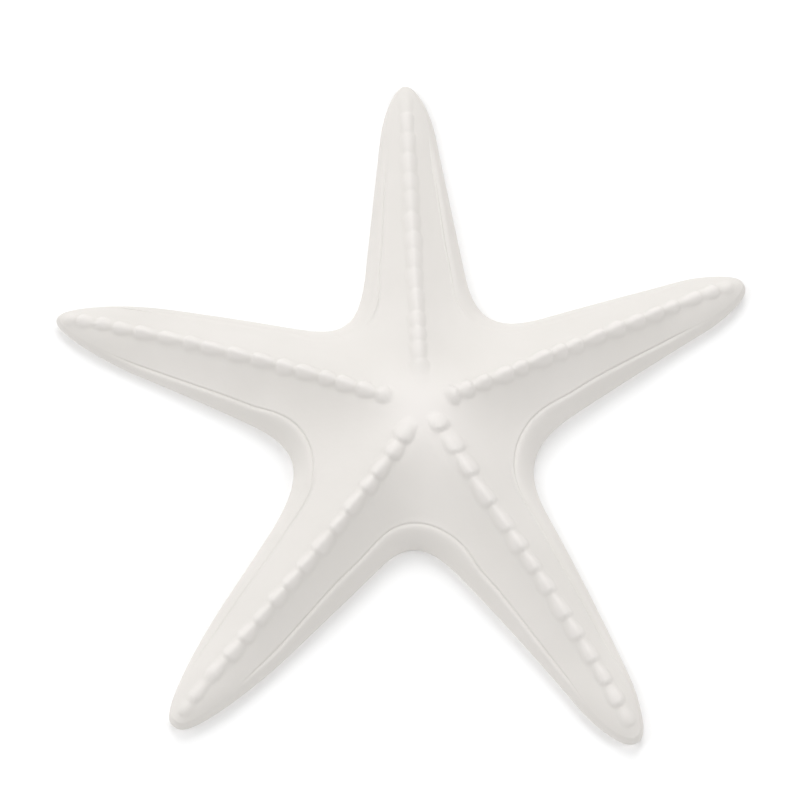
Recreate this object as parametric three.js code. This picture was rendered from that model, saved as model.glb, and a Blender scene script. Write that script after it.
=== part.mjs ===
// A five-armed starfish lying on its flat underside, as one closed solid.
// Millimetres, +Z up. The arms are laid out around the middle of the disc, then the whole
// body is moved so that its origin is the centre of its footprint, on the floor.

import * as THREE from "three";
import { mergeVertices } from "three/addons/utils/BufferGeometryUtils.js";

// ---- driving dimensions -------------------------------------------------------------

// One entry per arm, counter-clockwise from the right-hand one.
// heading: degrees from +X. length: disc centre to tip. bow: sideways bend at mid-length.
// crest: extra sideways bend of the crest line. tip and taper: half-width near the tip and
// its growth per mm towards the disc. cap: length over which the tip rounds off.
// blunt: 1 for an elliptic tip, less for a blunter one.
// lean: share by which the left side is wider than the right. rim: height of the edge band
// on the free part of the arm, as a share of the usual one. swell: extra height of the
// crest at mid-length. relief: height of the plates. rope: how little the plates narrow
// where they begin. first and dawn: where the plates begin and over what length they grow.
// aside: how far the first plates lie to the left of the crest.
// plates: where each plate of the crest ends, from the disc centre.
const ARMS = [
  {
    heading: 25.8, length: 133, bow: 1.3, crest: -1, tip: 7.8, taper: 0.155, cap: 22,
    blunt: 0.85, lean: -0.02, rim: 1, swell: 1.5, relief: 1.25, rope: 0.05, first: 8, dawn: 4, aside: 0,
    plates: [15, 21, 28, 37, 43, 53, 59, 65.5, 75, 83, 91, 99, 105.5, 115, 122, 128],
  },
  {
    heading: 92.3, length: 141.5, bow: 0.3, crest: -0.4, tip: 7.4, taper: 0.139, cap: 21,
    blunt: 0.95, lean: -0.04, rim: 1, swell: 0, relief: 0.7, rope: 0.6, first: 8, dawn: 16, aside: 0,
    plates: [20.5, 28, 34, 40.5, 50, 59, 67, 75, 83.5, 93, 101, 110, 119, 128, 136],
  },
  {
    heading: 161.9, length: 141, bow: -2.7, crest: -0.3, tip: 9.2, taper: 0.138, cap: 37,
    blunt: 1, lean: 0, rim: 0.75, swell: 0.3, relief: 1.1, rope: 0.08, first: 9, dawn: 5, aside: 0,
    plates: [17.5, 25, 33, 39.5, 48.5, 56, 65.5, 75, 85, 92, 101.5, 111, 119, 126, 133, 138],
  },
  {
    heading: 232.7, length: 142.7, bow: 0.4, crest: 2.4, tip: 10, taper: 0.116, cap: 46,
    blunt: 0.78, lean: 0.02, rim: 1, swell: 2.4, relief: 1, rope: 0.15, first: 4, dawn: 4, aside: 0,
    plates: [15, 22, 31, 37.5, 47.5, 56, 65.5, 74, 82, 89.5, 98, 106, 114, 123.5, 133, 139],
  },
  {
    heading: 302.3, length: 141, bow: 2.8, crest: -0.5, tip: 7.8, taper: 0.138, cap: 22,
    blunt: 0.85, lean: -0.12, rim: 0.95, swell: 2, relief: 1, rope: 0.12, first: 2.5, dawn: 4, aside: 2,
    plates: [11.5, 21.5, 31.5, 44, 55.5, 64, 73, 82, 92.5, 101, 110.5, 119.5, 128, 136],
  },
];

// The hollow between each arm and the next: how far out on both arms it begins, and how
// strongly its curve is pulled into the corner from both sides.
const WEBS = [
  { from: 60.5, to: 61, pullFrom: 0.7, pullTo: 0.77 },
  { from: 63, to: 59, pullFrom: 0.93, pullTo: 0.7 },
  { from: 60.5, to: 69, pullFrom: 0.75, pullTo: 0.79 },
  { from: 51, to: 62, pullFrom: 0.98, pullTo: 0.58 },
  { from: 53, to: 54, pullFrom: 0.76, pullTo: 0.71 },
];

const CENTRE_HEIGHT = 21;
const CREST_END_HEIGHT = 6;
const CREST_END_SETBACK = 5; // the crest line stops this far from the tip
const APEX_RADIUS = 14; // the crests level out within this distance of the disc centre
const CREST_BEND = 6.75; // makes an arm's crest value its largest extra bend
const FACE_LOAD = 0.022; // how strongly the faces hang between crest and edge band, per mm
const ROUNDING = { crest: 1.3, disc: 4.5, nose: 1.5 }; // mm over which crests are rounded
const DISC_REACH = 22; // the rounding of the disc fades out over this distance

// Rolled band along the edge, from the tip to the middle of a web.
const RIM_WIDTH = { tip: 0.9, outer: 2.5, middle: 4.3, web: 6.1 };
const RIM_WIDENS = { outer: [0, 0.3], middle: [0.25, 0.55], web: [0.55, 0.95] };
const RIM_HEIGHT = { tip: 3.4, middle: 8.6, web: 9.6 };
const RIM_RISES = { middle: [0, 0.58], web: [0.4, 0.95] };
const RIM_THIN_SHARE = [0.35, 0.85]; // an arm's own height of the band ends between these
const RIM_ROUNDNESS = 1.45; // power that shapes the roll: 1 is an ellipse, 2 a bevel
const WIDEST_HEIGHT = 1.9; // the edge curls under below this height
const UNDER_EDGE_INSET = 1.7;

// Fine crease along the top of the band, where the face steps up from it. On the sides
// towards +Y the step is worn away and the band falls off a little instead.
const LEDGE_WIDTH = 1.7;
const LEDGE_STEP = 0.55;
const LEDGE_CREASE = { part: 0.58, climb: -0.15 };
const LEDGE_FOOT = 0.9;
const LEDGE_FADE = [0.1, 0.26]; // the crease runs out between these shares near the tip
const LEDGE_WORN = 0.12;
const WORN_FADE = 0.6; // on the worn sides the crease runs out so much sooner
const WORN_DROP = 1.2;
const WORN_SIDES = [-0.1, 0.8];

// Near the tip the band and the faces merge into one smooth nose.
const NOSE_SHARE = [0.08, 0.3];
const NOSE_FULLNESS = 1.8;
const NOSE_LEDGE = 0.3;

// Overlapping plates along the crest: each widens and rises towards the tip of the arm and
// ends in a round step over the beginning of the next one.
const PLATE_RISE = { disc: 1.43, tip: 1.1 };
const PLATE_HALF_WIDTH = { disc: 4.5, arm: 3.4, tip: 3 };
const PLATE_NARROWS = { disc: [8, 34], arm: [0.4, 0.85] }; // mm, then share of the arm
const PLATE_NECK = 0.58;
const PLATE_OVERLAP = 2;
const PLATE_ROUNDNESS = 0.8;
const PLATE_END = 1.4; // length over which the end of a plate rounds down
const PLATE_BOW = 0.5; // bulge of the end, as a share of the half-width
const PLATE_GROWN = 0.75; // a plate has its full size from this share of its length
const PLATE_START = 3; // length over which a plate comes out from under the last one
const PLATE_VARIATION = 0.12;
const PLATE_SHIFT = 0.25;
const PLATES_ASIDE = [15, 40]; // an arm's plates are moved aside up to here from the disc
const PLATE_TURNS = { width: 2.4, height: 1.7, shift: 3.1 }; // radians from plate to plate
const LAST_PLATE = { end: 5, rise: 0.65 };

// Underside: a shallow furrow under each arm, meeting in the mouth.
const FURROW_HALF_WIDTH = 3;
const FURROW_TIP_SHARE = 0.4; // share of its width that the furrow has at the tip
const FURROW_WIDEST_SHARE = 0.6; // and the most it takes of the way to the edge
const FURROW_DEPTH = 1.8;
const FURROW_FADE = 18; // the furrow runs out over this length at the tip

// ---- division of the surface --------------------------------------------------------

const CAP_STEPS = 7;
const RIM_STEPS = 3;
const FACE_FRACTIONS = [0.4, 0.75];
const CREST_ROWS = [3.4, 1.7];
const FIRST_CREST_ROW = 0.3; // no nearer to the band than this share of the face
const FACE_ROWS = 1 + FACE_FRACTIONS.length + CREST_ROWS.length + 1;
const STEEPEST_SLANT = 0.4;
const SLANT_REACH = 12;
const STEP_STATIONS = [1, 0.1]; // a plate's step lies between these points before its end
const WEB_STATIONS = [7, 3];
const CLOSEST_STATIONS = 0.7;
const MERGE_DISTANCE = 1e-4;
const SMALL = 1e-3;
const RELAX_STEPS = 800; // at most so many steps, or until the error is below the next
const RELAX_ENOUGH = 1e-10;
const ROUNDING_PASSES = 2;
const STIFFNESS_LIMITS = [-5, 50];
const FIRM = 1e4; // hold that keeps a point where it is

// ---- helpers ------------------------------------------------------------------------

const { clamp, lerp, smoothstep: smooth } = THREE.MathUtils;

function prepare(arm) {
  const angle = THREE.MathUtils.degToRad(arm.heading);
  const along = new THREE.Vector2(Math.cos(angle), Math.sin(angle));
  const across = new THREE.Vector2(-along.y, along.x);
  return { ...arm, along, across };
}

const arms = ARMS.map(prepare);

function place(arm, out, side) {
  return new THREE.Vector2(
    out * arm.along.x + side * arm.across.x,
    out * arm.along.y + side * arm.across.y,
  );
}

// Sideways position of the arm's middle line and of its crest, at a distance from the disc.
function middleOffset(arm, out) {
  const x = out / arm.length;
  return 4 * arm.bow * x * (1 - x);
}

function crestOffset(arm, out) {
  const x = out / arm.length;
  return middleOffset(arm, out) + CREST_BEND * arm.crest * x * (1 - x) * (1 - x);
}

function crestHeight(arm, out) {
  const x = out / arm.length;
  const level = Math.hypot(out, APEX_RADIUS) - APEX_RADIUS;
  const fallen = level / (arm.length - APEX_RADIUS);
  return lerp(CENTRE_HEIGHT, CREST_END_HEIGHT, fallen) + 4 * arm.swell * x * (1 - x);
}

// Side of an arm. The gauge is the angle round the tip up to a quarter turn, then goes on
// along the arm; a gauge below zero gives the other side of the tip.
function distanceFromTip(arm, gauge) {
  if (gauge < Math.PI / 2) return arm.cap * (1 - Math.cos(gauge));
  return arm.cap * (1 + gauge - Math.PI / 2);
}

function gaugeAt(arm, fromTip) {
  if (fromTip < arm.cap) return Math.acos(1 - fromTip / arm.cap);
  return Math.PI / 2 + fromTip / arm.cap - 1;
}

function sidePoint(arm, hand, gauge) {
  const fromTip = distanceFromTip(arm, gauge);
  const rounding = gauge < Math.PI / 2 ? Math.max(Math.sin(gauge), 0) ** arm.blunt : 1;
  const half = (arm.tip + arm.taper * fromTip) * rounding * (1 + hand * arm.lean);
  const out = arm.length - fromTip;
  return place(arm, out, middleOffset(arm, out) + hand * half);
}

function sideDirection(arm, hand, gauge) {
  const step = sidePoint(arm, hand, gauge + SMALL).sub(sidePoint(arm, hand, gauge - SMALL));
  return step.normalize();
}

// Curve of a web, from the left side of one arm to the right side of the next.
function webCurve(index) {
  const web = WEBS[index];
  const first = arms[index];
  const second = arms[(index + 1) % arms.length];
  const startGauge = gaugeAt(first, first.length - web.from);
  const endGauge = gaugeAt(second, second.length - web.to);
  const start = sidePoint(first, 1, startGauge);
  const end = sidePoint(second, -1, endGauge);
  const startWay = sideDirection(first, 1, startGauge);
  const endWay = sideDirection(second, -1, endGauge);
  const gap = end.clone().sub(start);
  const turn = startWay.x * endWay.y - startWay.y * endWay.x;
  const startReach = (gap.x * endWay.y - gap.y * endWay.x) / turn;
  const endReach = (gap.x * startWay.y - gap.y * startWay.x) / turn;
  return new THREE.CubicBezierCurve(
    start,
    start.clone().addScaledVector(startWay, startReach * web.pullFrom),
    end.clone().addScaledVector(endWay, endReach * web.pullTo),
    end,
  );
}

const webs = WEBS.map((_, index) => webCurve(index));

// Outline point that belongs to a point of the crest, with the inward direction there and
// its place between tip (0) and the middle of the web (1).
function outlineAt(armIndex, hand, out) {
  const arm = arms[armIndex];
  const webIndex = hand > 0 ? armIndex : (armIndex + arms.length - 1) % arms.length;
  const web = WEBS[webIndex];
  const webStart = hand > 0 ? web.from : web.to;
  const inset = 1 - webStart / arm.length;
  let point;
  let way;
  let share;
  if (out < webStart) {
    const half = 0.5 * (1 - out / webStart);
    const t = hand > 0 ? half : 1 - half;
    point = webs[webIndex].getPoint(t);
    way = webs[webIndex].getTangent(t).multiplyScalar(hand);
    share = inset + (1 - inset) * Math.sin(Math.PI * half);
  } else {
    const crestFromTip = arm.length - out;
    const slack = 1 - CREST_END_SETBACK / arm.cap;
    const fromTip = crestFromTip < arm.cap
      ? Math.max(0, (crestFromTip - CREST_END_SETBACK) / slack)
      : crestFromTip;
    const gauge = gaugeAt(arm, fromTip);
    point = sidePoint(arm, hand, gauge);
    way = sideDirection(arm, hand, gauge);
    share = fromTip / arm.length;
  }
  const inward = new THREE.Vector2(way.y, -way.x).multiplyScalar(-hand);
  return { point, inward, share };
}

// ---- cross-section ------------------------------------------------------------------

function rimWidth(share) {
  return RIM_WIDTH.tip
    + (RIM_WIDTH.outer - RIM_WIDTH.tip) * smooth(share, ...RIM_WIDENS.outer)
    + (RIM_WIDTH.middle - RIM_WIDTH.outer) * smooth(share, ...RIM_WIDENS.middle)
    + (RIM_WIDTH.web - RIM_WIDTH.middle) * smooth(share, ...RIM_WIDENS.web);
}

function rimHeight(share) {
  return RIM_HEIGHT.tip
    + (RIM_HEIGHT.middle - RIM_HEIGHT.tip) * smooth(share, ...RIM_RISES.middle)
    + (RIM_HEIGHT.web - RIM_HEIGHT.middle) * smooth(share, ...RIM_RISES.web);
}

// Points of one cross line, from the underside edge over the band up to the crest.
function crossLine(armIndex, hand, out) {
  const arm = arms[armIndex];
  const { point, inward, share } = outlineAt(armIndex, hand, out);
  const crest = place(arm, out, crestOffset(arm, out));
  const top = crestHeight(arm, out);
  const whole = crest.distanceTo(point);
  const nose = 1 - smooth(share, ...NOSE_SHARE);
  const worn = smooth(-inward.y, ...WORN_SIDES);
  const thin = lerp(arm.rim, 1, smooth(share, ...RIM_THIN_SHARE));
  const width = rimWidth(share) * thin;
  const height = Math.max(rimHeight(share) * thin, RIM_HEIGHT.tip);
  const kept = smooth(share - WORN_FADE * worn, ...LEDGE_FADE);
  const step = LEDGE_STEP * kept * lerp(1, LEDGE_WORN, worn);
  const ledge = LEDGE_WIDTH * lerp(1, NOSE_LEDGE, nose);
  const drop = WORN_DROP * worn * smooth(share, ...NOSE_SHARE);
  const bandTop = height - drop;

  const nosed = (distance, z) => {
    const left = 1 - clamp(distance / whole, 0, 1);
    const dome = (1 - left ** NOSE_FULLNESS) ** (1 / NOSE_FULLNESS);
    return lerp(z, lerp(WIDEST_HEIGHT, top, dome), nose);
  };
  const line = [];
  const add = (distance, z) => {
    const spot = point.clone().addScaledVector(inward, distance);
    line.push(new THREE.Vector3(spot.x, spot.y, z));
  };
  add(UNDER_EDGE_INSET, 0);
  for (let index = 0; index <= RIM_STEPS; index += 1) {
    const angle = (Math.PI / 2) * (index / RIM_STEPS);
    const roll = Math.sin(angle) ** RIM_ROUNDNESS;
    const distance = width * (1 - Math.cos(angle) ** RIM_ROUNDNESS);
    add(distance, nosed(distance, lerp(WIDEST_HEIGHT, bandTop, roll)));
  }
  const { part: creasePart, climb } = LEDGE_CREASE;
  const crease = bandTop + lerp(climb * step, drop * creasePart, worn);
  const footZ = lerp(bandTop + step, height, worn);
  add(width + ledge * creasePart, nosed(width + ledge * creasePart, crease));
  add(width + ledge * LEDGE_FOOT, nosed(width + ledge * LEDGE_FOOT, footZ));

  const foot = line[line.length - 1];
  const span = new THREE.Vector2(crest.x - foot.x, crest.y - foot.y);
  const reach = span.length();
  const evenSlant = Math.sin(Math.PI / arms.length);
  const ownSlant = Math.abs(span.dot(arm.across)) / reach;
  const slant = Math.max(lerp(evenSlant, ownSlant, smooth(out, 0, SLANT_REACH)), STEEPEST_SLANT);
  const firstRow = Math.max(1 - CREST_ROWS[0] / reach / slant, FIRST_CREST_ROW);
  const fractions = [
    ...FACE_FRACTIONS.map((part) => part * firstRow),
    ...CREST_ROWS.map((row) => lerp(firstRow, 1, 1 - row / CREST_ROWS[0])),
    1,
  ];
  for (const part of fractions) {
    const distance = width + ledge + reach * part;
    const z = nosed(distance, lerp(footZ, top, part));
    line.push(new THREE.Vector3(foot.x + span.x * part, foot.y + span.y * part, z));
  }
  return { line, nose };
}

// Points of the underside, from the middle of the furrow to its lip.
function underLine(armIndex, hand, out, edge) {
  const arm = arms[armIndex];
  const crest = place(arm, out, crestOffset(arm, out));
  const fade = smooth(arm.length - out, CREST_END_SETBACK, FURROW_FADE);
  const across = Math.hypot(crest.x - edge.x, crest.y - edge.y);
  const half = FURROW_HALF_WIDTH * lerp(FURROW_TIP_SHARE, 1, fade);
  const part = Math.min(half / across, FURROW_WIDEST_SHARE);
  return [
    new THREE.Vector3(crest.x, crest.y, FURROW_DEPTH * fade),
    new THREE.Vector3(lerp(crest.x, edge.x, part), lerp(crest.y, edge.y, part), 0),
  ];
}

// ---- plates -------------------------------------------------------------------------

// Every plate, with its arm and sizes. Neighbours differ a little from each other.
function listPlates() {
  const plates = [];
  for (const arm of arms) {
    let before = arm.first;
    arm.plates.forEach((end, index) => {
      const share = end / arm.length;
      const count = plates.length;
      let half = lerp(PLATE_HALF_WIDTH.disc, PLATE_HALF_WIDTH.arm, smooth(end, ...PLATE_NARROWS.disc));
      half = lerp(half, PLATE_HALF_WIDTH.tip, smooth(share, ...PLATE_NARROWS.arm));
      half *= 1 + PLATE_VARIATION * Math.sin(PLATE_TURNS.width * count);
      let rise = arm.relief * lerp(PLATE_RISE.disc, PLATE_RISE.tip, share);
      rise *= 1 + PLATE_VARIATION * Math.sin(PLATE_TURNS.height * count);
      const last = index === arm.plates.length - 1;
      plates.push({
        arm,
        start: Math.max(before - PLATE_OVERLAP, arm.first),
        end,
        half,
        rise: last ? rise * LAST_PLATE.rise : rise,
        shift: PLATE_SHIFT * Math.sin(PLATE_TURNS.shift * count),
        fall: last ? LAST_PLATE.end : PLATE_END,
      });
      before = end;
    });
  }
  return plates;
}

const plates = listPlates();

// Height of one plate at a plan point.
function plateHeight(plate, spot) {
  const { arm, start, end, half } = plate;
  const out = spot.x * arm.along.x + spot.y * arm.along.y;
  if (out < start || out > end) return 0;
  const side = spot.x * arm.across.x + spot.y * arm.across.y;
  const moved = plate.shift + arm.aside * (1 - smooth(out, ...PLATES_ASIDE));
  const aside = side - crestOffset(arm, out) - moved;
  const grown = smooth((out - start) / (end - start), 0, PLATE_GROWN);
  const width = half * lerp(lerp(PLATE_NECK, 1, arm.rope), 1, grown);
  const across = (aside / width) ** 2;
  if (across >= 1) return 0;
  const left = 1 - clamp((end - PLATE_BOW * half * across - out) / plate.fall, 0, 1);
  return plate.rise * lerp(arm.rope, 1, grown) * (1 - across) ** PLATE_ROUNDNESS
    * Math.sqrt(1 - left * left) * smooth(out, start, start + PLATE_START)
    * smooth(out, arm.first, arm.first + arm.dawn);
}

function plateRise(spot) {
  return Math.max(...plates.map((plate) => plateHeight(plate, spot)));
}

// ---- faces --------------------------------------------------------------------------

// The upper faces are one stretched sheet that hangs between the crests and the band.
// Its springs join neighbouring points, with the usual cotangent stiffness.
function makeSheet(ring) {
  const ids = new Map();
  const points = [];
  const grid = ring.map(({ line, nose }) => line.slice(-FACE_ROWS).map((point) => {
    const key = `${Math.round(point.x / SMALL)},${Math.round(point.y / SMALL)}`;
    if (!ids.has(key)) {
      ids.set(key, points.length);
      points.push({ x: point.x, y: point.y, z: point.z, nose, area: 0 });
    }
    return ids.get(key);
  }));
  const springs = [];
  const addTriangle = (...corners) => {
    corners.forEach((a, turn) => {
      const b = corners[(turn + 1) % 3];
      const c = points[corners[(turn + 2) % 3]];
      const [ax, ay] = [points[a].x - c.x, points[a].y - c.y];
      const [bx, by] = [points[b].x - c.x, points[b].y - c.y];
      const double = Math.abs(ax * by - ay * bx);
      const cotangent = (ax * bx + ay * by) / Math.max(double, MERGE_DISTANCE);
      springs.push({ a, b, stiffness: 0.5 * clamp(cotangent, ...STIFFNESS_LIMITS) });
      points[a].area += double / 6;
    });
  };
  grid.forEach((row, index) => {
    const next = grid[(index + 1) % grid.length];
    for (let step = 0; step + 1 < FACE_ROWS; step += 1) {
      addTriangle(row[step], next[step], next[step + 1]);
      addTriangle(row[step], next[step + 1], row[step + 1]);
    }
  });
  const feet = new Set(grid.map((row) => row[0]));
  const crests = new Set(grid.map((row) => row[FACE_ROWS - 1]));
  return { points, springs, grid, feet, crests };
}

// Heights at which the sheet rests when each point is also held towards its present height
// and loaded downwards, found by conjugate gradients.
function relax(sheet, hold, load) {
  const { points, springs } = sheet;
  const push = (z) => {
    const pushed = z.map((value, index) => hold[index] * value);
    for (const { a, b, stiffness } of springs) {
      const pull = stiffness * (z[a] - z[b]);
      pushed[a] += pull;
      pushed[b] -= pull;
    }
    return pushed;
  };
  const dot = (p, q) => p.reduce((sum, value, index) => sum + value * q[index], 0);
  const diagonal = hold.map((value) => value);
  for (const { a, b, stiffness } of springs) {
    diagonal[a] += stiffness;
    diagonal[b] += stiffness;
  }
  const z = points.map((point) => point.z);
  const pushed = push(z);
  const left = z.map((value, index) => hold[index] * value - load[index] - pushed[index]);
  const scaled = () => left.map((value, index) => value / Math.max(diagonal[index], SMALL));
  let way = scaled();
  let size = dot(left, way);
  for (let step = 0; step < RELAX_STEPS && size > RELAX_ENOUGH; step += 1) {
    const moved = push(way);
    const gain = size / dot(way, moved);
    way.forEach((value, index) => {
      z[index] += gain * value;
      left[index] -= gain * moved[index];
    });
    const turned = scaled();
    const newSize = dot(left, turned);
    way = turned.map((value, index) => value + way[index] * (newSize / size));
    size = newSize;
  }
  points.forEach((point, index) => {
    point.z = z[index];
  });
}

// Hangs the faces, rounds the crests, and puts the plates on top.
function shapeFaces(ring) {
  const sheet = makeSheet(ring);
  const { points, grid, feet, crests } = sheet;
  const hung = points.map(({ area, nose }, index) => (
    feet.has(index) || crests.has(index) ? FIRM : area * nose ** 2
  ));
  relax(sheet, hung, points.map(({ area, nose }) => FACE_LOAD * area * (1 - nose)));
  const rounded = points.map((point, index) => {
    const disc = Math.exp(-((Math.hypot(point.x, point.y) / DISC_REACH) ** 2));
    const radius = lerp(lerp(ROUNDING.crest, ROUNDING.disc, disc), ROUNDING.nose, point.nose);
    return feet.has(index) ? FIRM : (point.area * ROUNDING_PASSES * 2) / radius ** 2;
  });
  for (let pass = 0; pass < ROUNDING_PASSES; pass += 1) {
    relax(sheet, rounded, points.map(() => 0));
  }
  ring.forEach(({ line }, index) => {
    line.slice(-FACE_ROWS).forEach((point, row) => {
      point.z = points[grid[index][row]].z + (row > 0 ? plateRise(point) : 0);
    });
  });
}

// ---- the body -----------------------------------------------------------------------

// Distances along the crest at which the surface is divided, from the tip inwards.
function stations(arm) {
  const wanted = [];
  for (let step = 0; step <= CAP_STEPS; step += 1) {
    const fromTip = distanceFromTip(arm, (Math.PI / 2) * (step / CAP_STEPS));
    const slack = 1 - CREST_END_SETBACK / arm.cap;
    wanted.push({ out: arm.length - CREST_END_SETBACK - fromTip * slack, keep: step === 0 });
  }
  for (const end of arm.plates) {
    for (const before of STEP_STATIONS) wanted.push({ out: end - before, keep: true });
  }
  for (const out of WEB_STATIONS) wanted.push({ out, keep: false });
  wanted.push({ out: 0, keep: true });
  wanted.sort((a, b) => b.out - a.out);
  const kept = wanted.filter((one) => one.keep);
  const clear = (one) => kept.every((other) => Math.abs(other.out - one.out) > CLOSEST_STATIONS);
  const usable = wanted.filter((one) => one.keep || clear(one));
  const furthest = arm.length - CREST_END_SETBACK;
  return usable.map((one) => one.out).filter((out) => out <= furthest);
}

function ringOfLines() {
  const ring = [];
  const addLine = (armIndex, hand, out) => {
    const { line, nose } = crossLine(armIndex, hand, out);
    const under = underLine(armIndex, hand, out, line[0]);
    ring.push({ line: [...under, ...line], nose });
  };
  arms.forEach((arm, index) => {
    const next = (index + 1) % arms.length;
    for (const out of stations(arm)) addLine(index, 1, out);
    const back = stations(arms[next]).reverse().slice(1, -1);
    for (const out of back) addLine(next, -1, out);
  });
  return ring;
}

function bodyGeometry() {
  const ring = ringOfLines();
  shapeFaces(ring);
  const rows = ring[0].line.length;
  const corners = [];
  const near = (p, q) => p.distanceTo(q) < MERGE_DISTANCE;
  const triangle = (a, b, c) => {
    if (!near(a, b) && !near(b, c) && !near(c, a)) corners.push(a, b, c);
  };
  ring.forEach(({ line }, index) => {
    const next = ring[(index + 1) % ring.length].line;
    for (let row = 0; row + 1 < rows; row += 1) {
      triangle(line[row], next[row], next[row + 1]);
      triangle(line[row], next[row + 1], line[row + 1]);
    }
  });
  const loose = new THREE.BufferGeometry().setFromPoints(corners);
  return mergeVertices(loose, MERGE_DISTANCE);
}

function buildStarfish() {
  const geometry = bodyGeometry();
  geometry.computeBoundingBox();
  const middle = geometry.boundingBox.getCenter(new THREE.Vector3());
  geometry.translate(-middle.x, -middle.y, 0);
  geometry.computeVertexNormals();
  const material = new THREE.MeshStandardMaterial({
    color: 0xf2efeb,
    roughness: 0.75,
    metalness: 0,
  });
  const mesh = new THREE.Mesh(geometry, material);
  mesh.name = "starfish";
  return mesh;
}

const part = new THREE.Group();
part.name = "dried_starfish";
part.add(buildStarfish());

export default part;
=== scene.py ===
"""Looks of the dried starfish: one moulded, bleached body lying on a pale studio floor.

The body is built as a fine mesh from the same outline and cross-section as the CAD solid
that it replaces. Lengths are in millimetres until the mesh is made.
"""

import math

import bpy
import numpy as np
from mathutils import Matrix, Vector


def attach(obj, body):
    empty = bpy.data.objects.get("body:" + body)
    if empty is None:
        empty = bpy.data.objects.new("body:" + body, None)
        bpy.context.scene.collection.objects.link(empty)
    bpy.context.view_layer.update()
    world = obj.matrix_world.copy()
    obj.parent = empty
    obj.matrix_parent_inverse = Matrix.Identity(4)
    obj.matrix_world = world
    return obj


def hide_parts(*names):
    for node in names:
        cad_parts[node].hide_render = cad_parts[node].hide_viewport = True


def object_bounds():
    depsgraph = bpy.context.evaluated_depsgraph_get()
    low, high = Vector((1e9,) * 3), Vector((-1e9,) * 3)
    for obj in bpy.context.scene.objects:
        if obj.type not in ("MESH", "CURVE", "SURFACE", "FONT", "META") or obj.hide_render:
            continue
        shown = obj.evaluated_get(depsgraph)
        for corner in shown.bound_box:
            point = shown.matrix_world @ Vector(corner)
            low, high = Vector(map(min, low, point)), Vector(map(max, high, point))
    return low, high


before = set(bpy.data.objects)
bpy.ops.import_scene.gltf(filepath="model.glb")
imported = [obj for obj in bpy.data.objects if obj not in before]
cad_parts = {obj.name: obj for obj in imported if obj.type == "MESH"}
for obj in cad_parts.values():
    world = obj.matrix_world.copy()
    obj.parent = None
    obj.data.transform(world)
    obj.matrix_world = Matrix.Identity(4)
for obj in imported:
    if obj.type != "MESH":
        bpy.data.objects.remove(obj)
cad_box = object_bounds()

MM = 0.001

# ---- shape: follows the CAD solid, with one plate more at the start of the far arm ----

# heading: degrees from +X. length: disc centre to tip. bow: sideways bend at mid-length.
# crest: extra sideways bend of the crest. tip, taper: half-width near the tip and its
# growth per mm. cap: length over which the tip rounds off. blunt: 1 for an elliptic tip,
# less for a blunter one. lean: share by which the left side is wider. rim: height of the
# edge band on the free arm. swell: extra height of the crest at mid-length. relief: height
# of the plates. rope: how little the plates narrow where they begin. first, dawn: where the
# plates begin and over what length they grow. aside: how far the first plates lie to the
# left of the crest. plates: where each plate ends, from the disc centre.
ARMS = [
    dict(
        heading=25.8, length=133.0, bow=1.3, crest=-1.0, tip=7.8, taper=0.155, cap=22.0,
        blunt=0.85, lean=-0.02, rim=1.0, swell=1.5, relief=1.25, rope=0.05,
        first=8.0, dawn=4.0, aside=0.0,
        plates=[15, 21, 28, 37, 43, 53, 59, 65.5, 75, 83, 91, 99, 105.5, 115, 122, 128],
    ),
    dict(
        heading=92.3, length=141.5, bow=0.3, crest=-0.4, tip=7.4, taper=0.139, cap=21.0,
        blunt=0.95, lean=-0.04, rim=1.0, swell=0.0, relief=0.7, rope=0.6,
        first=8.0, dawn=16.0, aside=0.0,
        plates=[13.5, 20.5, 28, 34, 40.5, 50, 59, 67, 75, 83.5, 93, 101, 110, 119, 128, 136],
    ),
    dict(
        heading=161.9, length=141.0, bow=-2.7, crest=-0.3, tip=9.2, taper=0.138, cap=37.0,
        blunt=1.0, lean=0.0, rim=0.75, swell=0.3, relief=1.1, rope=0.08,
        first=9.0, dawn=5.0, aside=0.0,
        plates=[17.5, 25, 33, 39.5, 48.5, 56, 65.5, 75, 85, 92, 101.5, 111, 119, 126, 133, 138],
    ),
    dict(
        heading=232.7, length=142.7, bow=0.4, crest=2.4, tip=10.0, taper=0.116, cap=46.0,
        blunt=0.78, lean=0.02, rim=1.0, swell=2.4, relief=1.0, rope=0.15,
        first=4.0, dawn=4.0, aside=0.0,
        plates=[15, 22, 31, 37.5, 47.5, 56, 65.5, 74, 82, 89.5, 98, 106, 114, 123.5, 133, 139],
    ),
    dict(
        heading=302.3, length=141.0, bow=2.8, crest=-0.5, tip=7.8, taper=0.138, cap=22.0,
        blunt=0.85, lean=-0.12, rim=0.95, swell=2.0, relief=1.0, rope=0.12,
        first=2.5, dawn=4.0, aside=2.0,
        plates=[11.5, 21.5, 31.5, 44, 55.5, 64, 73, 82, 92.5, 101, 110.5, 119.5, 128, 136],
    ),
]

# Hollow between each arm and the next: where it begins on both, and how strongly its
# curve is pulled into the corner.
WEBS = [
    dict(start=60.5, end=61.0, pull_start=0.70, pull_end=0.77),
    dict(start=63.0, end=59.0, pull_start=0.93, pull_end=0.70),
    dict(start=60.5, end=69.0, pull_start=0.75, pull_end=0.79),
    dict(start=51.0, end=62.0, pull_start=0.98, pull_end=0.58),
    dict(start=53.0, end=54.0, pull_start=0.76, pull_end=0.71),
]

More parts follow.
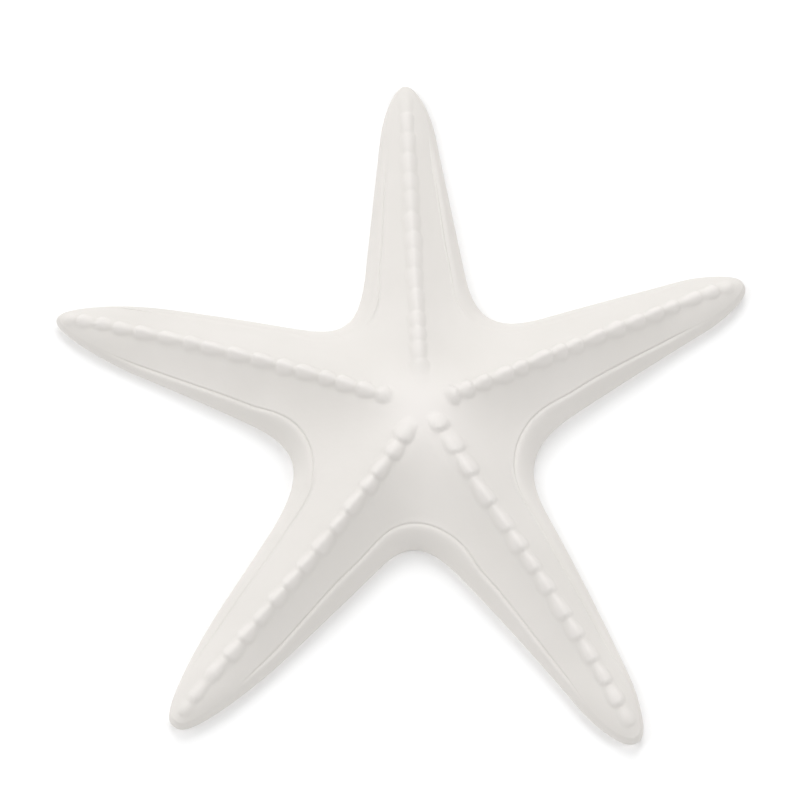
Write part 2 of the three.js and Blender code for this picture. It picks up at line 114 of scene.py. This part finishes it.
CENTRE_HEIGHT = 21.0
CREST_END_HEIGHT = 6.0
CREST_END_SETBACK = 5.0
CREST_BEND = 6.75  # makes an arm's crest value its largest extra bend
APEX_RADIUS = 14.0  # the crests level out within this distance of the disc centre
FACE_LOAD = 0.022  # how strongly the faces hang between crest and groove, per mm
CREST_ROUNDING = 1.3  # mm over which the crest is rounded, on the arms and at the disc
DISC_ROUNDING = 4.5
DISC_REACH = 22.4  # the rounding of the disc fades out over this distance

# Rolled band along the edge, from the tip to the middle of a web. Each growth takes place
# between two shares of the way.
RIM_WIDTH = dict(tip=0.9, outer=2.5, middle=4.3, web=6.1)
RIM_WIDENS = dict(outer=(0.0, 0.3), middle=(0.25, 0.55), web=(0.55, 0.95))
RIM_HEIGHT = dict(tip=3.4, middle=8.6, web=9.6)
RIM_RISES = dict(middle=(0.0, 0.58), web=(0.4, 0.95))
RIM_OWN_HEIGHT = (0.35, 0.85)  # an arm's own height of the band ends between these shares
RIM_ROUNDNESS = 1.45
WIDEST_HEIGHT = 1.9  # the edge curls under below this height
UNDER_EDGE_INSET = 1.7
UNDER_EDGE_POWER = 1.6

LEDGE_WIDTH = 1.7  # flat top of the band, then the step up to the face
LEDGE_STEP = 0.55
LEDGE_FADE = (0.1, 0.26)  # the step runs out towards the tip between these shares
WORN_FADE = 0.6  # and this much sooner on the worn sides
LEDGE_WORN = 0.12  # what is left of the step on the sides towards +Y,
WORN_DROP = 1.2  # where the band also falls away by this much
WORN_SIDES = (-0.1, 0.8)  # how far a side faces +Y where the wear begins and is full
WORN_LEAST = 0.5  # share of the drop that is kept at the tip
WORN_TIP = 0.3  # and the share of the arm over which it gets there
BAND_LEAST = 1.0  # the band stands at least this far above the widest line
LEDGE_PROFILE = ((0.25, 0.1), (0.5, 0.05), (0.62, -0.15), (0.74, 0.2), (0.88, 0.92))
NOSE_SHARE = (0.08, 0.3)  # the tip is a smooth nose up to here, as a share of the arm
NOSE_FULLNESS = 1.8
NOSE_LEDGE = 0.3  # what is left of the ledge's width there
NOSE_ROUNDING = 1.5

PLATE_RISE = (1.43, 1.105)  # at the disc and at the tip
PLATE_HALF_WIDTH = (4.5, 3.4, 3.0)  # beside the disc, on the arm and near the tip
PLATE_NARROWS = ((8.0, 34.0), (0.4, 0.85))  # mm from the disc, then share of the arm
ROPE_HALF_WIDTH = 2.89
PLATE_NECK = 0.58  # share of its full width that a plate has where it comes out
PLATE_OVERLAP = 2.0
PLATE_ROUNDNESS = 0.8
PLATE_END = 1.4  # length over which a plate's end rounds down
LAST_PLATE_END = 5.0
LAST_PLATE_RISE = 0.65
PLATE_BOW = 0.5  # how far a plate's end bulges outwards, as a share of its half-width
PLATE_VARIATION = 0.12
PLATE_SHIFT = 0.25
PLATE_GROWN = 0.75  # a plate has its full width from this share of its length
PLATE_EMERGES = (-0.5, 3.0)  # and comes out from under the last one between these
PLATES_ASIDE = (15.0, 40.0)  # an arm's plates are moved aside up to here from the disc
TROUGH_DEPTH = 0.18  # shallow dip of the face along both sides of the plates
TROUGH_WIDTH = 1.6
TROUGH_FADE = (12.0, 25.0)  # length over which it begins at the disc and ends at the tip
WAVES = 40  # the faces are slightly uneven: this many shallow waves, of these lengths
WAVE_LENGTHS = (9.0, 34.0)
WAVE_HEIGHT = 0.09
WAVES_ABOVE = 6.0  # in full above this height

FURROW_HALF_WIDTH = 3.0
FURROW_DEPTH = 1.8
FURROW_FADE = 18.0
FURROW_TIP = 0.4  # share of its width that the furrow has at the tip
FURROW_WIDEST = 0.6  # and the most it takes of the way to the edge

# ---- division of the fine mesh ------------------------------------------------------

STATIONS_PER_ARM = 205
CAP_SHARE = 0.16
FURROW_STEPS = (0.0, 0.35, 0.7, 1.0)
UNDER_CORNERS = (0.35, 0.75)
RIM_STEPS = 8
FACE_STEPS = 9
SLANT_REACH = 12.0  # near the disc the rows beside the crest are spaced evenly
LEAST_SLANT = 0.4
FIRST_CREST_ROW = 0.3  # no nearer to the band than this share of the face
CREST_ROWS = (7.4, 6.3, 5.4, 4.8, 4.3, 3.9, 3.5, 3.1, 2.7, 2.3, 1.9, 1.5, 1.1, 0.7, 0.35)
FACE_ROWS = FACE_STEPS + len(CREST_ROWS) + 1
LIP_ROWS = (-2, -1, 0)  # rows of the band's lip, counted from its inner edge, that get a painted highlight
NUDGES = ((-0.14, -0.14), (-0.14, 0.14), (0.14, -0.14), (0.14, 0.14))
RELAX_STEPS = 1500  # at most so many steps, or until the error is below the next value
RELAX_ENOUGH = 1e-9
ROUNDING_PASSES = 2
STIFFNESS_LIMITS = (-5.0, 50.0)
LEAST_AREA = 1e-4
FIRM = 1e4  # hold that keeps a point where it is
HAIR = 1e-3
SAME_POINT = 2e-5
SMALL = 1e-6
SEED = 7


def smooth(x, low, high):
    t = np.clip((x - low) / (high - low), 0.0, 1.0)
    return t * t * (3.0 - 2.0 * t)


def lerp(a, b, t):
    return a + (b - a) * t


class Arm:
    """One arm's middle line, sides and crest."""

    def __init__(self, **sizes):
        self.__dict__.update(sizes)
        angle = math.radians(self.heading)
        self.along = np.array([math.cos(angle), math.sin(angle)])
        self.across = np.array([-self.along[1], self.along[0]])
        self.ends = np.array(self.plates, dtype=float)

    def place(self, out, side):
        out, side = np.broadcast_arrays(np.asarray(out, float), np.asarray(side, float))
        return out[..., None] * self.along + side[..., None] * self.across

    def middle_offset(self, out):
        x = out / self.length
        return 4.0 * self.bow * x * (1.0 - x)

    def crest_offset(self, out):
        x = out / self.length
        return self.middle_offset(out) + CREST_BEND * self.crest * x * (1.0 - x) ** 2

    def crest_height(self, out):
        level = np.hypot(out, APEX_RADIUS) - APEX_RADIUS
        x = out / self.length
        fall = level / (self.length - APEX_RADIUS)
        return lerp(CENTRE_HEIGHT, CREST_END_HEIGHT, fall) + self.swell * 4.0 * x * (1.0 - x)

    def from_tip(self, gauge):
        rounded = self.cap * (1.0 - np.cos(gauge))
        straight = self.cap * (1.0 + gauge - math.pi / 2)
        return np.where(gauge < math.pi / 2, rounded, straight)

    def gauge_at(self, from_tip):
        rounded = np.arccos(np.clip(1.0 - from_tip / self.cap, -1.0, 1.0))
        straight = math.pi / 2 + from_tip / self.cap - 1.0
        return np.where(from_tip < self.cap, rounded, straight)

    def side_point(self, hand, gauge):
        from_tip = self.from_tip(gauge)
        rounding = np.where(gauge < math.pi / 2, np.maximum(np.sin(gauge), 0.0) ** self.blunt, 1.0)
        half = (self.tip + self.taper * from_tip) * rounding * (1.0 + hand * self.lean)
        out = self.length - from_tip
        return self.place(out, self.middle_offset(out) + hand * half)

    def side_way(self, hand, gauge):
        step = self.side_point(hand, gauge + HAIR) - self.side_point(hand, gauge - HAIR)
        return step / np.linalg.norm(step, axis=-1, keepdims=True)

    def stations(self):
        """Distances along the crest, from its end at the tip to the disc centre."""
        slack = 1.0 - CREST_END_SETBACK / self.cap
        cap_count = int(STATIONS_PER_ARM * CAP_SHARE)
        turn = np.linspace(0.0, math.pi / 2, cap_count)
        turn = turn[: cap_count * 2 // 3]
        round_tip = CREST_END_SETBACK + self.cap * (1.0 - np.cos(turn)) * slack
        rest = np.linspace(self.length - round_tip[-1], 0.0, STATIONS_PER_ARM - len(turn))
        return np.concatenate([self.length - round_tip[:-1], rest])


arms = [Arm(**sizes) for sizes in ARMS]


def cross(a, b):
    return a[0] * b[1] - a[1] * b[0]


def web_corners(index):
    """Four control points of a web's curve."""
    web = WEBS[index]
    first = arms[index]
    second = arms[(index + 1) % len(arms)]
    start_gauge = first.gauge_at(np.array(first.length - web["start"]))
    end_gauge = second.gauge_at(np.array(second.length - web["end"]))
    start = first.side_point(1, start_gauge)
    end = second.side_point(-1, end_gauge)
    start_way = first.side_way(1, start_gauge)
    end_way = second.side_way(-1, end_gauge)
    turn = cross(start_way, end_way)
    start_reach = cross(end - start, end_way) / turn
    end_reach = cross(end - start, start_way) / turn
    return (
        start,
        start + start_way * start_reach * web["pull_start"],
        end + end_way * end_reach * web["pull_end"],
        end,
    )


def bezier(corners, t):
    a, b, c, d = corners
    t = t[:, None]
    s = 1.0 - t
    point = s**3 * a + 3 * s**2 * t * b + 3 * s * t**2 * c + t**3 * d
    way = s**2 * (b - a) + 2 * s * t * (c - b) + t**2 * (d - c)
    return point, way / np.linalg.norm(way, axis=1, keepdims=True)


web_curves = [web_corners(index) for index in range(len(WEBS))]


def outline(index, hand, out):
    """Outline points that belong to crest distances, with the inward direction and the
    share between the tip (0) and the middle of the web (1)."""
    arm = arms[index]
    web_index = index if hand > 0 else (index - 1) % len(arms)
    web_start = WEBS[web_index]["start" if hand > 0 else "end"]
    inset = 1.0 - web_start / arm.length
    slack = 1.0 - CREST_END_SETBACK / arm.cap
    from_tip = arm.length - out
    rounded = np.maximum(0.0, (from_tip - CREST_END_SETBACK) / slack)
    from_tip = np.where(from_tip < arm.cap, rounded, from_tip)
    gauge = arm.gauge_at(from_tip)
    point = arm.side_point(hand, gauge)
    way = arm.side_way(hand, gauge)
    share = from_tip / arm.length
    half = 0.5 * (1.0 - np.minimum(out / web_start, 1.0))
    web_point, web_way = bezier(web_curves[web_index], half if hand > 0 else 1.0 - half)
    in_web = out < web_start
    point = np.where(in_web[:, None], web_point, point)
    way = np.where(in_web[:, None], web_way * hand, way)
    share = np.where(in_web, inset + (1.0 - inset) * np.sin(math.pi * half), share)
    inward = np.stack([way[:, 1], -way[:, 0]], axis=1) * -hand
    return point, inward, share


def rim_width(share):
    return (
        RIM_WIDTH["tip"]
        + (RIM_WIDTH["outer"] - RIM_WIDTH["tip"]) * smooth(share, *RIM_WIDENS["outer"])
        + (RIM_WIDTH["middle"] - RIM_WIDTH["outer"]) * smooth(share, *RIM_WIDENS["middle"])
        + (RIM_WIDTH["web"] - RIM_WIDTH["middle"]) * smooth(share, *RIM_WIDENS["web"])
    )


def rim_height(share):
    return (
        RIM_HEIGHT["tip"]
        + (RIM_HEIGHT["middle"] - RIM_HEIGHT["tip"]) * smooth(share, *RIM_RISES["middle"])
        + (RIM_HEIGHT["web"] - RIM_HEIGHT["middle"]) * smooth(share, *RIM_RISES["web"])
    )


def make_plates():
    """Every plate: its arm, start, end, half-width, rise, side shift and end rounding."""
    random = np.random.default_rng(SEED)
    disc, arm_width, tip = PLATE_HALF_WIDTH
    plates = []
    for arm in arms:
        start = arm.first
        for end in arm.ends:
            share = end / arm.length
            fade = PLATE_END
            vary = 1.0 + PLATE_VARIATION * random.uniform(-1.0, 1.0, 2)
            half = lerp(disc, arm_width, smooth(end, *PLATE_NARROWS[0]))
            half = lerp(half, tip, smooth(share, *PLATE_NARROWS[1]))
            half = lerp(half, ROPE_HALF_WIDTH, arm.rope / 2.0)
            rise = arm.relief * lerp(*PLATE_RISE, share)
            shift = PLATE_SHIFT * random.uniform(-1.0, 1.0)
            if end == arm.ends[-1]:
                fade = LAST_PLATE_END
                rise *= LAST_PLATE_RISE
            first = max(start - PLATE_OVERLAP, arm.first)
            plates.append((arm, first, end, half * vary[0], rise * vary[1], shift, fade))
            start = end
    return plates


def plate_rise(spots):
    """Height added by the overlapping plates at plan points."""
    rise = np.zeros(len(spots))
    for arm, start, end, half, top, shift, fade in make_plates():
        out = spots @ arm.along
        near = np.flatnonzero((out > start - 1.0) & (out < end + 1.0))
        out = out[near]
        aside = spots[near] @ arm.across - arm.crest_offset(out) - shift
        aside -= arm.aside * (1.0 - smooth(out, *PLATES_ASIDE))
        grown = smooth((out - start) / (end - start), 0.0, PLATE_GROWN)
        width = half * lerp(lerp(PLATE_NECK, 1.0, arm.rope), 1.0, grown)
        height = top * lerp(arm.rope, 1.0, grown)
        inside = np.clip(1.0 - (aside / width) ** 2, 0.0, 1.0)
        back = end - PLATE_BOW * half * (aside / width) ** 2 - out
        left = 1.0 - np.clip(back / fade, 0.0, 1.0)
        lump = height * inside**PLATE_ROUNDNESS * np.sqrt(1.0 - left**2)
        lump *= smooth(out - start, *PLATE_EMERGES)
        lump *= smooth(out, arm.first, arm.first + arm.dawn)
        rise[near] = np.maximum(rise[near], lump)
    return rise


def trough(spots):
    """Depth of the shallow dips along both sides of every row of plates."""
    depth = np.zeros(len(spots))
    for arm in arms:
        out = spots @ arm.along
        aside = np.abs(spots @ arm.across - arm.crest_offset(out))
        beside = np.exp(-(((aside - PLATE_HALF_WIDTH[1]) / TROUGH_WIDTH) ** 2))
        beside *= smooth(out, arm.first, arm.first + TROUGH_FADE[0])
        beside *= 1.0 - smooth(out, arm.ends[-1] - TROUGH_FADE[1], arm.ends[-1])
        depth = np.maximum(depth, TROUGH_DEPTH * beside)
    return depth


def unevenness(spots):
    random = np.random.default_rng(SEED + 1)
    height = np.zeros(len(spots))
    for _ in range(WAVES):
        angle = random.uniform(0.0, 2.0 * math.pi)
        length = random.uniform(*WAVE_LENGTHS)
        way = np.array([math.cos(angle), math.sin(angle)]) * 2.0 * math.pi / length
        share = length / WAVE_LENGTHS[1]
        height += share * np.sin(spots @ way + random.uniform(0.0, 2.0 * math.pi))
    return height * WAVE_HEIGHT / math.sqrt(WAVES / 2)


def cross_lines(index, hand, out):
    """Rows of points over the body, from the furrow's middle round to the crest."""
    arm = arms[index]
    point, inward, share = outline(index, hand, out)
    thin = lerp(arm.rim, 1.0, smooth(share, *RIM_OWN_HEIGHT))
    width = rim_width(share) * thin
    height = np.maximum(rim_height(share) * thin, RIM_HEIGHT["tip"])
    worn = smooth(-inward[:, 1], *WORN_SIDES)
    cut = smooth(share - WORN_FADE * worn, *LEDGE_FADE) * lerp(1.0, LEDGE_WORN, worn)
    kept = 1.0 - (1.0 - WORN_LEAST) * smooth(WORN_TIP - share, 0.0, WORN_TIP)
    band_top = height - WORN_DROP * worn * kept
    band_top = np.maximum(band_top, WIDEST_HEIGHT + BAND_LEAST)
    nose = 1.0 - smooth(share, *NOSE_SHARE)
    ledge = LEDGE_WIDTH * lerp(1.0, NOSE_LEDGE, nose)
    crest = arm.place(out, arm.crest_offset(out))
    rows = []

    def add(spot, z):
        rows.append(np.column_stack([spot, np.broadcast_to(z, out.shape)]))

    def add_in(distance, z):
        add(point + inward * np.broadcast_to(distance, out.shape)[:, None], z)

    fade = smooth(arm.length - out, CREST_END_SETBACK, FURROW_FADE)
    edge = point + inward * UNDER_EDGE_INSET
    reach = np.linalg.norm(edge - crest, axis=1)
    lip = np.minimum(FURROW_HALF_WIDTH * lerp(FURROW_TIP, 1.0, fade) / reach, FURROW_WIDEST)
    for part in FURROW_STEPS:
        spot = crest + (edge - crest) * (lip * part)[:, None]
        add(spot, FURROW_DEPTH * fade * math.cos(part * math.pi / 2) ** 2)
    add(crest + (edge - crest) * lerp(lip, 1.0, 0.5)[:, None], 0.0)
    add(edge, 0.0)
    for part in UNDER_CORNERS:
        add_in(
            UNDER_EDGE_INSET * (1 - part) ** UNDER_EDGE_POWER,
            WIDEST_HEIGHT * part**UNDER_EDGE_POWER,
        )

    top = arm.crest_height(out)
    whole = np.linalg.norm(crest - point, axis=1)

    def rounded(distance, z):
        left = 1.0 - np.clip(distance / whole, 0.0, 1.0)
        dome = (1.0 - left**NOSE_FULLNESS) ** (1.0 / NOSE_FULLNESS)
        return lerp(z, lerp(WIDEST_HEIGHT, top, dome), nose)

    for step in range(RIM_STEPS + 1):
        angle = math.pi / 2 * step / RIM_STEPS
        roll = math.sin(angle) ** RIM_ROUNDNESS
        distance = width * (1.0 - math.cos(angle) ** RIM_ROUNDNESS)
        add_in(distance, rounded(distance, lerp(WIDEST_HEIGHT, band_top, roll)))
    for part, climb in LEDGE_PROFILE:
        distance = width + ledge * part
        rise = lerp(climb * LEDGE_STEP * cut, WORN_DROP * part, worn)
        add_in(distance, rounded(distance, band_top + rise))
    foot = point + inward * (width + ledge)[:, None]
    foot_z = lerp(band_top + LEDGE_STEP * cut, height, worn)
    reach = np.linalg.norm(crest - foot, axis=1)
    slant = np.abs((crest - foot) @ arm.across) / reach
    slant = lerp(math.sin(math.pi / len(arms)), slant, smooth(out, 0.0, SLANT_REACH))
    slant = np.maximum(slant, LEAST_SLANT)
    first_crest_row = np.maximum(1.0 - CREST_ROWS[0] / reach / slant, FIRST_CREST_ROW)
    shares = []
    for step in range(FACE_STEPS):
        shares.append(first_crest_row * step / FACE_STEPS)
    for row in CREST_ROWS:
        shares.append(lerp(first_crest_row, 1.0, 1.0 - row / CREST_ROWS[0]))
    shares.append(np.ones_like(out))
    for part in shares:
        distance = width + ledge + reach * part
        face = rounded(distance, lerp(foot_z, top, part))
        add(foot + (crest - foot) * part[:, None], face)
    return np.array(rows), nose, cut


def sheet_links(plan, quads):
    """Pairs of neighbouring points with their cotangent weights, and each point's area."""
    triangles = np.concatenate([quads[:, [0, 1, 2]], quads[:, [0, 2, 3]]])
    area = np.zeros(len(plan))
    pairs = []
    weights = []
    for turn in range(3):
        a, b, c = (triangles[:, (turn + k) % 3] for k in range(3))
        ca = plan[a] - plan[c]
        cb = plan[b] - plan[c]
        double = np.abs(ca[:, 0] * cb[:, 1] - ca[:, 1] * cb[:, 0])
        cotangent = (ca * cb).sum(axis=1) / np.maximum(double, LEAST_AREA)
        pairs.append(np.stack([a, b], axis=1))
        weights.append(0.5 * np.clip(cotangent, *STIFFNESS_LIMITS))
        area += np.bincount(a, double / 6.0, len(plan))
    return np.concatenate(pairs), np.concatenate(weights), area


def relax(start, hold, load, pairs, weights):
    """Heights of a stretched sheet that each point's hold pulls towards its start."""
    count = len(start)
    a, b = pairs[:, 0], pairs[:, 1]

    def stiffness(z):
        pull = weights * (z[a] - z[b])
        return hold * z + np.bincount(a, pull, count) - np.bincount(b, pull, count)

    diagonal = hold + np.bincount(a, weights, count) + np.bincount(b, weights, count)
    diagonal = np.maximum(diagonal, SMALL)
    z = start.copy()
    left = hold * start - load - stiffness(z)
    step = left / diagonal
    way = step.copy()
    size = left @ step
    for _ in range(RELAX_STEPS):
        pushed = stiffness(way)
        gain = size / (way @ pushed)
        z += gain * way
        left -= gain * pushed
        step = left / diagonal
        new_size = left @ step
        if new_size < RELAX_ENOUGH:
            break
        way = step + way * (new_size / size)
        size = new_size
    return z


def shape_faces(points, faces, crest, groove, nose):
    """Hangs the faces between the crests and the groove, rounds the crests, adds plates."""
    used = np.unique(faces)
    local = np.full(len(points), -1)
    local[used] = np.arange(len(used))
    plan = points[used, :2]
    z = points[used, 2]
    quads = local[faces]
    pairs, weights, area = sheet_links(plan, quads)
    fixed = np.zeros(len(used), dtype=bool)
    fixed[local[groove]] = True
    held = fixed.copy()
    held[local[crest]] = True
    hold = np.where(held, FIRM, area * nose[used] ** 2)
    z = relax(z, hold, FACE_LOAD * area * (1.0 - nose[used]), pairs, weights)
    disc = np.exp(-((np.linalg.norm(plan, axis=1) / DISC_REACH) ** 2))
    rounding = lerp(CREST_ROUNDING, DISC_ROUNDING, disc)
    rounding = lerp(rounding, NOSE_ROUNDING, nose[used])
    for _ in range(ROUNDING_PASSES):
        hold = np.where(fixed, FIRM, area * ROUNDING_PASSES * 2.0 / rounding**2)
        z = relax(z, hold, 0.0, pairs, weights)
    rise = sum(plate_rise(plan + np.array(nudge)) for nudge in NUDGES) / len(NUDGES)
    points[used, 2] = z - trough(plan) + rise
    points[:, 2] += unevenness(points[:, :2]) * smooth(points[:, 2], WIDEST_HEIGHT, WAVES_ABOVE)
    raised = np.zeros(len(points))
    raised[used] = rise
    return points, raised


def body_mesh():
    """Vertices in millimetres and faces of the whole body."""
    blocks = []
    noses = []
    cuts = []
    for index, arm in enumerate(arms):
        after = (index + 1) % len(arms)
        back = arms[after].stations()[::-1][1:-1]
        for side in ((index, 1, arm.stations()), (after, -1, back)):
            rows, nose, cut = cross_lines(*side)
            blocks.append(rows)
            noses.append(nose)
            cuts.append(cut)
    grid = np.concatenate(blocks, axis=1)
    nose = np.broadcast_to(np.concatenate(noses), grid.shape[:2]).reshape(-1)
    rows, columns = grid.shape[:2]
    points = grid.reshape(-1, 3)
    keys = np.round(points / SAME_POINT).astype(np.int64)
    _, first, same = np.unique(keys, axis=0, return_index=True, return_inverse=True)
    same = same.reshape(rows, columns)
    around = np.roll(same, -1, axis=1)
    quads = np.stack([same[:-1], around[:-1], around[1:], same[1:]], axis=-1)
    faces = quads[-FACE_ROWS + 1 :].reshape(-1, 4)
    points, raised = shape_faces(
        points[first], faces, same[-1], same[-FACE_ROWS], nose[first]
    )
    # painted highlight along the band's lip, where the light catches its edge
    for row in LIP_ROWS:
        lip = same[-FACE_ROWS - len(LEDGE_PROFILE) + row]
        raised[lip] = np.maximum(raised[lip], LIP_HIGHLIGHT_PAINT * np.concatenate(cuts))
    return points, quads.reshape(-1, 4), raised


def painted_highlight_amount(points, raised):
    """Painted highlight: how much lighter colour each point gets, most on the tops of the plates
    and on the top of the disc, where the light falls most.
    """
    disc = np.exp(-((np.linalg.norm(points[:, :2], axis=1) / HIGHLIGHT_PAINT_DISC) ** 2))
    disc *= points[:, 2] > CENTRE_HEIGHT / 2
    return np.maximum(HIGHLIGHT_PAINT_PLATES * smooth(raised, *HIGHLIGHT_PAINT_RISE), disc)


def make_body():
    points, quads, raised = body_mesh()
    low = points.min(axis=0)
    high = points.max(axis=0)
    middle = (low + high) / 2
    cad_middle = (np.array(cad_box[0]) + np.array(cad_box[1])) / 2
    shift = np.array([cad_middle[0] / MM - middle[0], cad_middle[1] / MM - middle[1], 0.0])
    mesh = bpy.data.meshes.new("starfish_body")
    mesh.from_pydata(((points + shift) * MM).tolist(), [], quads.tolist())
    # painted highlight: amount of lighter colour on the plate tops, the disc top and the band's
    # lip
    painted_highlight = mesh.attributes.new("painted_highlight", "FLOAT", "POINT")
    painted_highlight.data.foreach_set("value", painted_highlight_amount(points, raised))
    mesh.validate()
    mesh.update()
    for polygon in mesh.polygons:
        polygon.use_smooth = True
    body = bpy.data.objects.new("starfish_body", mesh)
    bpy.context.scene.collection.objects.link(body)
    return body, shift


# ---- material -----------------------------------------------------------------------


FACE_COLOURS = ((0.725, 0.700, 0.667, 1.0), (0.752, 0.726, 0.696, 1.0))
# lighter colour of the painted highlight on the plate tops, the disc top and the band's lip
HIGHLIGHT_PAINT_COLOUR = (0.805, 0.776, 0.749, 1.0)
HIGHLIGHT_PAINT_DISC = 15.0  # reach of the painted highlight on the top of the disc
HIGHLIGHT_PAINT_PLATES = 0.75  # the most painted highlight there is on the plates,
HIGHLIGHT_PAINT_RISE = (0.1, 1.1)  # where they rise by this much
# strength of the painted highlight along the lip of the edge band
LIP_HIGHLIGHT_PAINT = 0.25
SPECULAR = 0.3
GLAZE_INDEX = 1.45
CLOUD_SCALE = 28.0  # per metre, like the other two
CLOUD_EDGES = (0.3, 0.7)
GRAIN_SCALE = 900.0
GRAIN_ROUGHNESS = (0.62, 0.82)
RIPPLE_SCALE = 160.0
RIPPLE_STRENGTH = 0.25
RIPPLE_HEIGHT = 0.0004
FLOOR_COLOUR = (0.96, 0.96, 0.96, 1.0)
FLOOR_ROUGHNESS = 0.9
FLOOR_GLOW = 0.05


def bleached_skeleton():
    material = bpy.data.materials.new("bleached_skeleton")
    material.use_nodes = True
    nodes = material.node_tree.nodes
    links = material.node_tree.links
    shader = nodes["Principled BSDF"]
    shader.inputs["IOR"].default_value = GLAZE_INDEX
    shader.inputs["Specular IOR Level"].default_value = SPECULAR
    coords = nodes.new("ShaderNodeTexCoord")

    def noise(scale, detail, roughness):
        texture = nodes.new("ShaderNodeTexNoise")
        texture.inputs["Scale"].default_value = scale
        texture.inputs["Detail"].default_value = detail
        texture.inputs["Roughness"].default_value = roughness
        links.new(coords.outputs["Object"], texture.inputs["Vector"])
        return texture

    clouds = noise(CLOUD_SCALE, 4.0, 0.55)
    ramp = nodes.new("ShaderNodeValToRGB")
    ramp.color_ramp.elements[0].position = CLOUD_EDGES[0]
    ramp.color_ramp.elements[0].color = FACE_COLOURS[0]
    ramp.color_ramp.elements[1].position = CLOUD_EDGES[1]
    ramp.color_ramp.elements[1].color = FACE_COLOURS[1]
    links.new(clouds.outputs["Fac"], ramp.inputs["Fac"])
    # painted highlight: the lighter colour is mixed in where the attribute is high
    highlight_attribute = nodes.new("ShaderNodeAttribute")
    highlight_attribute.attribute_name = "painted_highlight"
    mix = nodes.new("ShaderNodeMix")
    mix.data_type = "RGBA"
    mix.inputs["B"].default_value = HIGHLIGHT_PAINT_COLOUR
    links.new(highlight_attribute.outputs["Fac"], mix.inputs["Factor"])
    links.new(ramp.outputs["Color"], mix.inputs["A"])
    links.new(mix.outputs["Result"], shader.inputs["Base Color"])

    grain = noise(GRAIN_SCALE, 3.0, 0.6)
    gloss = nodes.new("ShaderNodeMapRange")
    gloss.inputs["To Min"].default_value = GRAIN_ROUGHNESS[0]
    gloss.inputs["To Max"].default_value = GRAIN_ROUGHNESS[1]
    links.new(grain.outputs["Fac"], gloss.inputs["Value"])
    links.new(gloss.outputs["Result"], shader.inputs["Roughness"])

    ripple = noise(RIPPLE_SCALE, 5.0, 0.6)
    bump = nodes.new("ShaderNodeBump")
    bump.inputs["Strength"].default_value = RIPPLE_STRENGTH
    bump.inputs["Distance"].default_value = RIPPLE_HEIGHT
    links.new(ripple.outputs["Fac"], bump.inputs["Height"])
    links.new(bump.outputs["Normal"], shader.inputs["Normal"])
    return material


def floor_paint():
    material = bpy.data.materials.new("studio_floor")
    material.use_nodes = True
    shader = material.node_tree.nodes["Principled BSDF"]
    shader.inputs["Base Color"].default_value = FLOOR_COLOUR
    shader.inputs["Roughness"].default_value = FLOOR_ROUGHNESS
    shader.inputs["Specular IOR Level"].default_value = 0.0
    shader.inputs["Emission Color"].default_value = (1.0, 1.0, 1.0, 1.0)
    shader.inputs["Emission Strength"].default_value = FLOOR_GLOW
    return material


# ---- studio -------------------------------------------------------------------------

FLOOR_SIZE = 6.0
FLOOR_DROP = 0.0001
CAMERA_DISTANCE = 1.2
CAMERA_ELEVATION = 66.0
CAMERA_LENS = 147.9
CAMERA_SENSOR = 36.0
AIM_FROM_DISC = (-7.57, 12.17)  # mm in plan
WORLD_LIGHT = 0.15
LAMP_ANGLE = 40.0
LAMPS = (  # heading, elevation and strength of each
    (0.0, 35.0, 1.06),
    (90.0, 35.0, 1.55),
    (135.0, 35.0, 0.43),
    (180.0, 35.0, 0.89),
    (225.0, 58.0, 0.44),
    (270.0, 35.0, 0.62),
)


def aim(thing, towards):
    direction = np.array(towards, dtype=float)
    flat = math.hypot(direction[0], direction[1])
    tilt = math.atan2(flat, -direction[2])
    turn = math.atan2(direction[1], direction[0]) - math.pi / 2
    thing.rotation_euler = (tilt, 0.0, turn)


def make_floor():
    half = FLOOR_SIZE / 2
    corners = [(-half, -half), (half, -half), (half, half), (-half, half)]
    mesh = bpy.data.meshes.new("floor")
    mesh.from_pydata([(x, y, -FLOOR_DROP) for x, y in corners], [], [(0, 1, 2, 3)])
    mesh.materials.append(floor_paint())
    floor = bpy.data.objects.new("floor", mesh)
    bpy.context.scene.collection.objects.link(floor)
    return floor


def make_lights():
    world = bpy.data.worlds.new("studio")
    world.use_nodes = True
    world.node_tree.nodes["Background"].inputs["Color"].default_value = (1.0, 1.0, 1.0, 1.0)
    world.node_tree.nodes["Background"].inputs["Strength"].default_value = WORLD_LIGHT
    bpy.context.scene.world = world
    for heading, height, strength in LAMPS:
        elevation = math.radians(height)
        sun = bpy.data.lights.new("softbox", "SUN")
        sun.energy = strength
        sun.angle = math.radians(LAMP_ANGLE)
        lamp = bpy.data.objects.new("softbox", sun)
        turn = math.radians(heading)
        flat = -math.cos(elevation)
        aim(lamp, (flat * math.cos(turn), flat * math.sin(turn), -math.sin(elevation)))
        bpy.context.scene.collection.objects.link(lamp)


def make_camera(shift):
    elevation = math.radians(CAMERA_ELEVATION)
    data = bpy.data.cameras.new("camera")
    data.lens = CAMERA_LENS
    data.sensor_width = CAMERA_SENSOR
    camera = bpy.data.objects.new("camera", data)
    target = np.array([AIM_FROM_DISC[0] + shift[0], AIM_FROM_DISC[1] + shift[1], 0.0]) * MM
    back = np.array([0.0, -math.cos(elevation), math.sin(elevation)])
    camera.location = target + back * CAMERA_DISTANCE
    aim(camera, -back)
    bpy.context.scene.collection.objects.link(camera)
    bpy.context.scene.camera = camera


body, plan_shift = make_body()
body.data.materials.append(bleached_skeleton())
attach(body, "root")
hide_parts("starfish")
make_floor()
make_lights()
make_camera(plan_shift)
bpy.context.scene.view_settings.view_transform = "Standard"
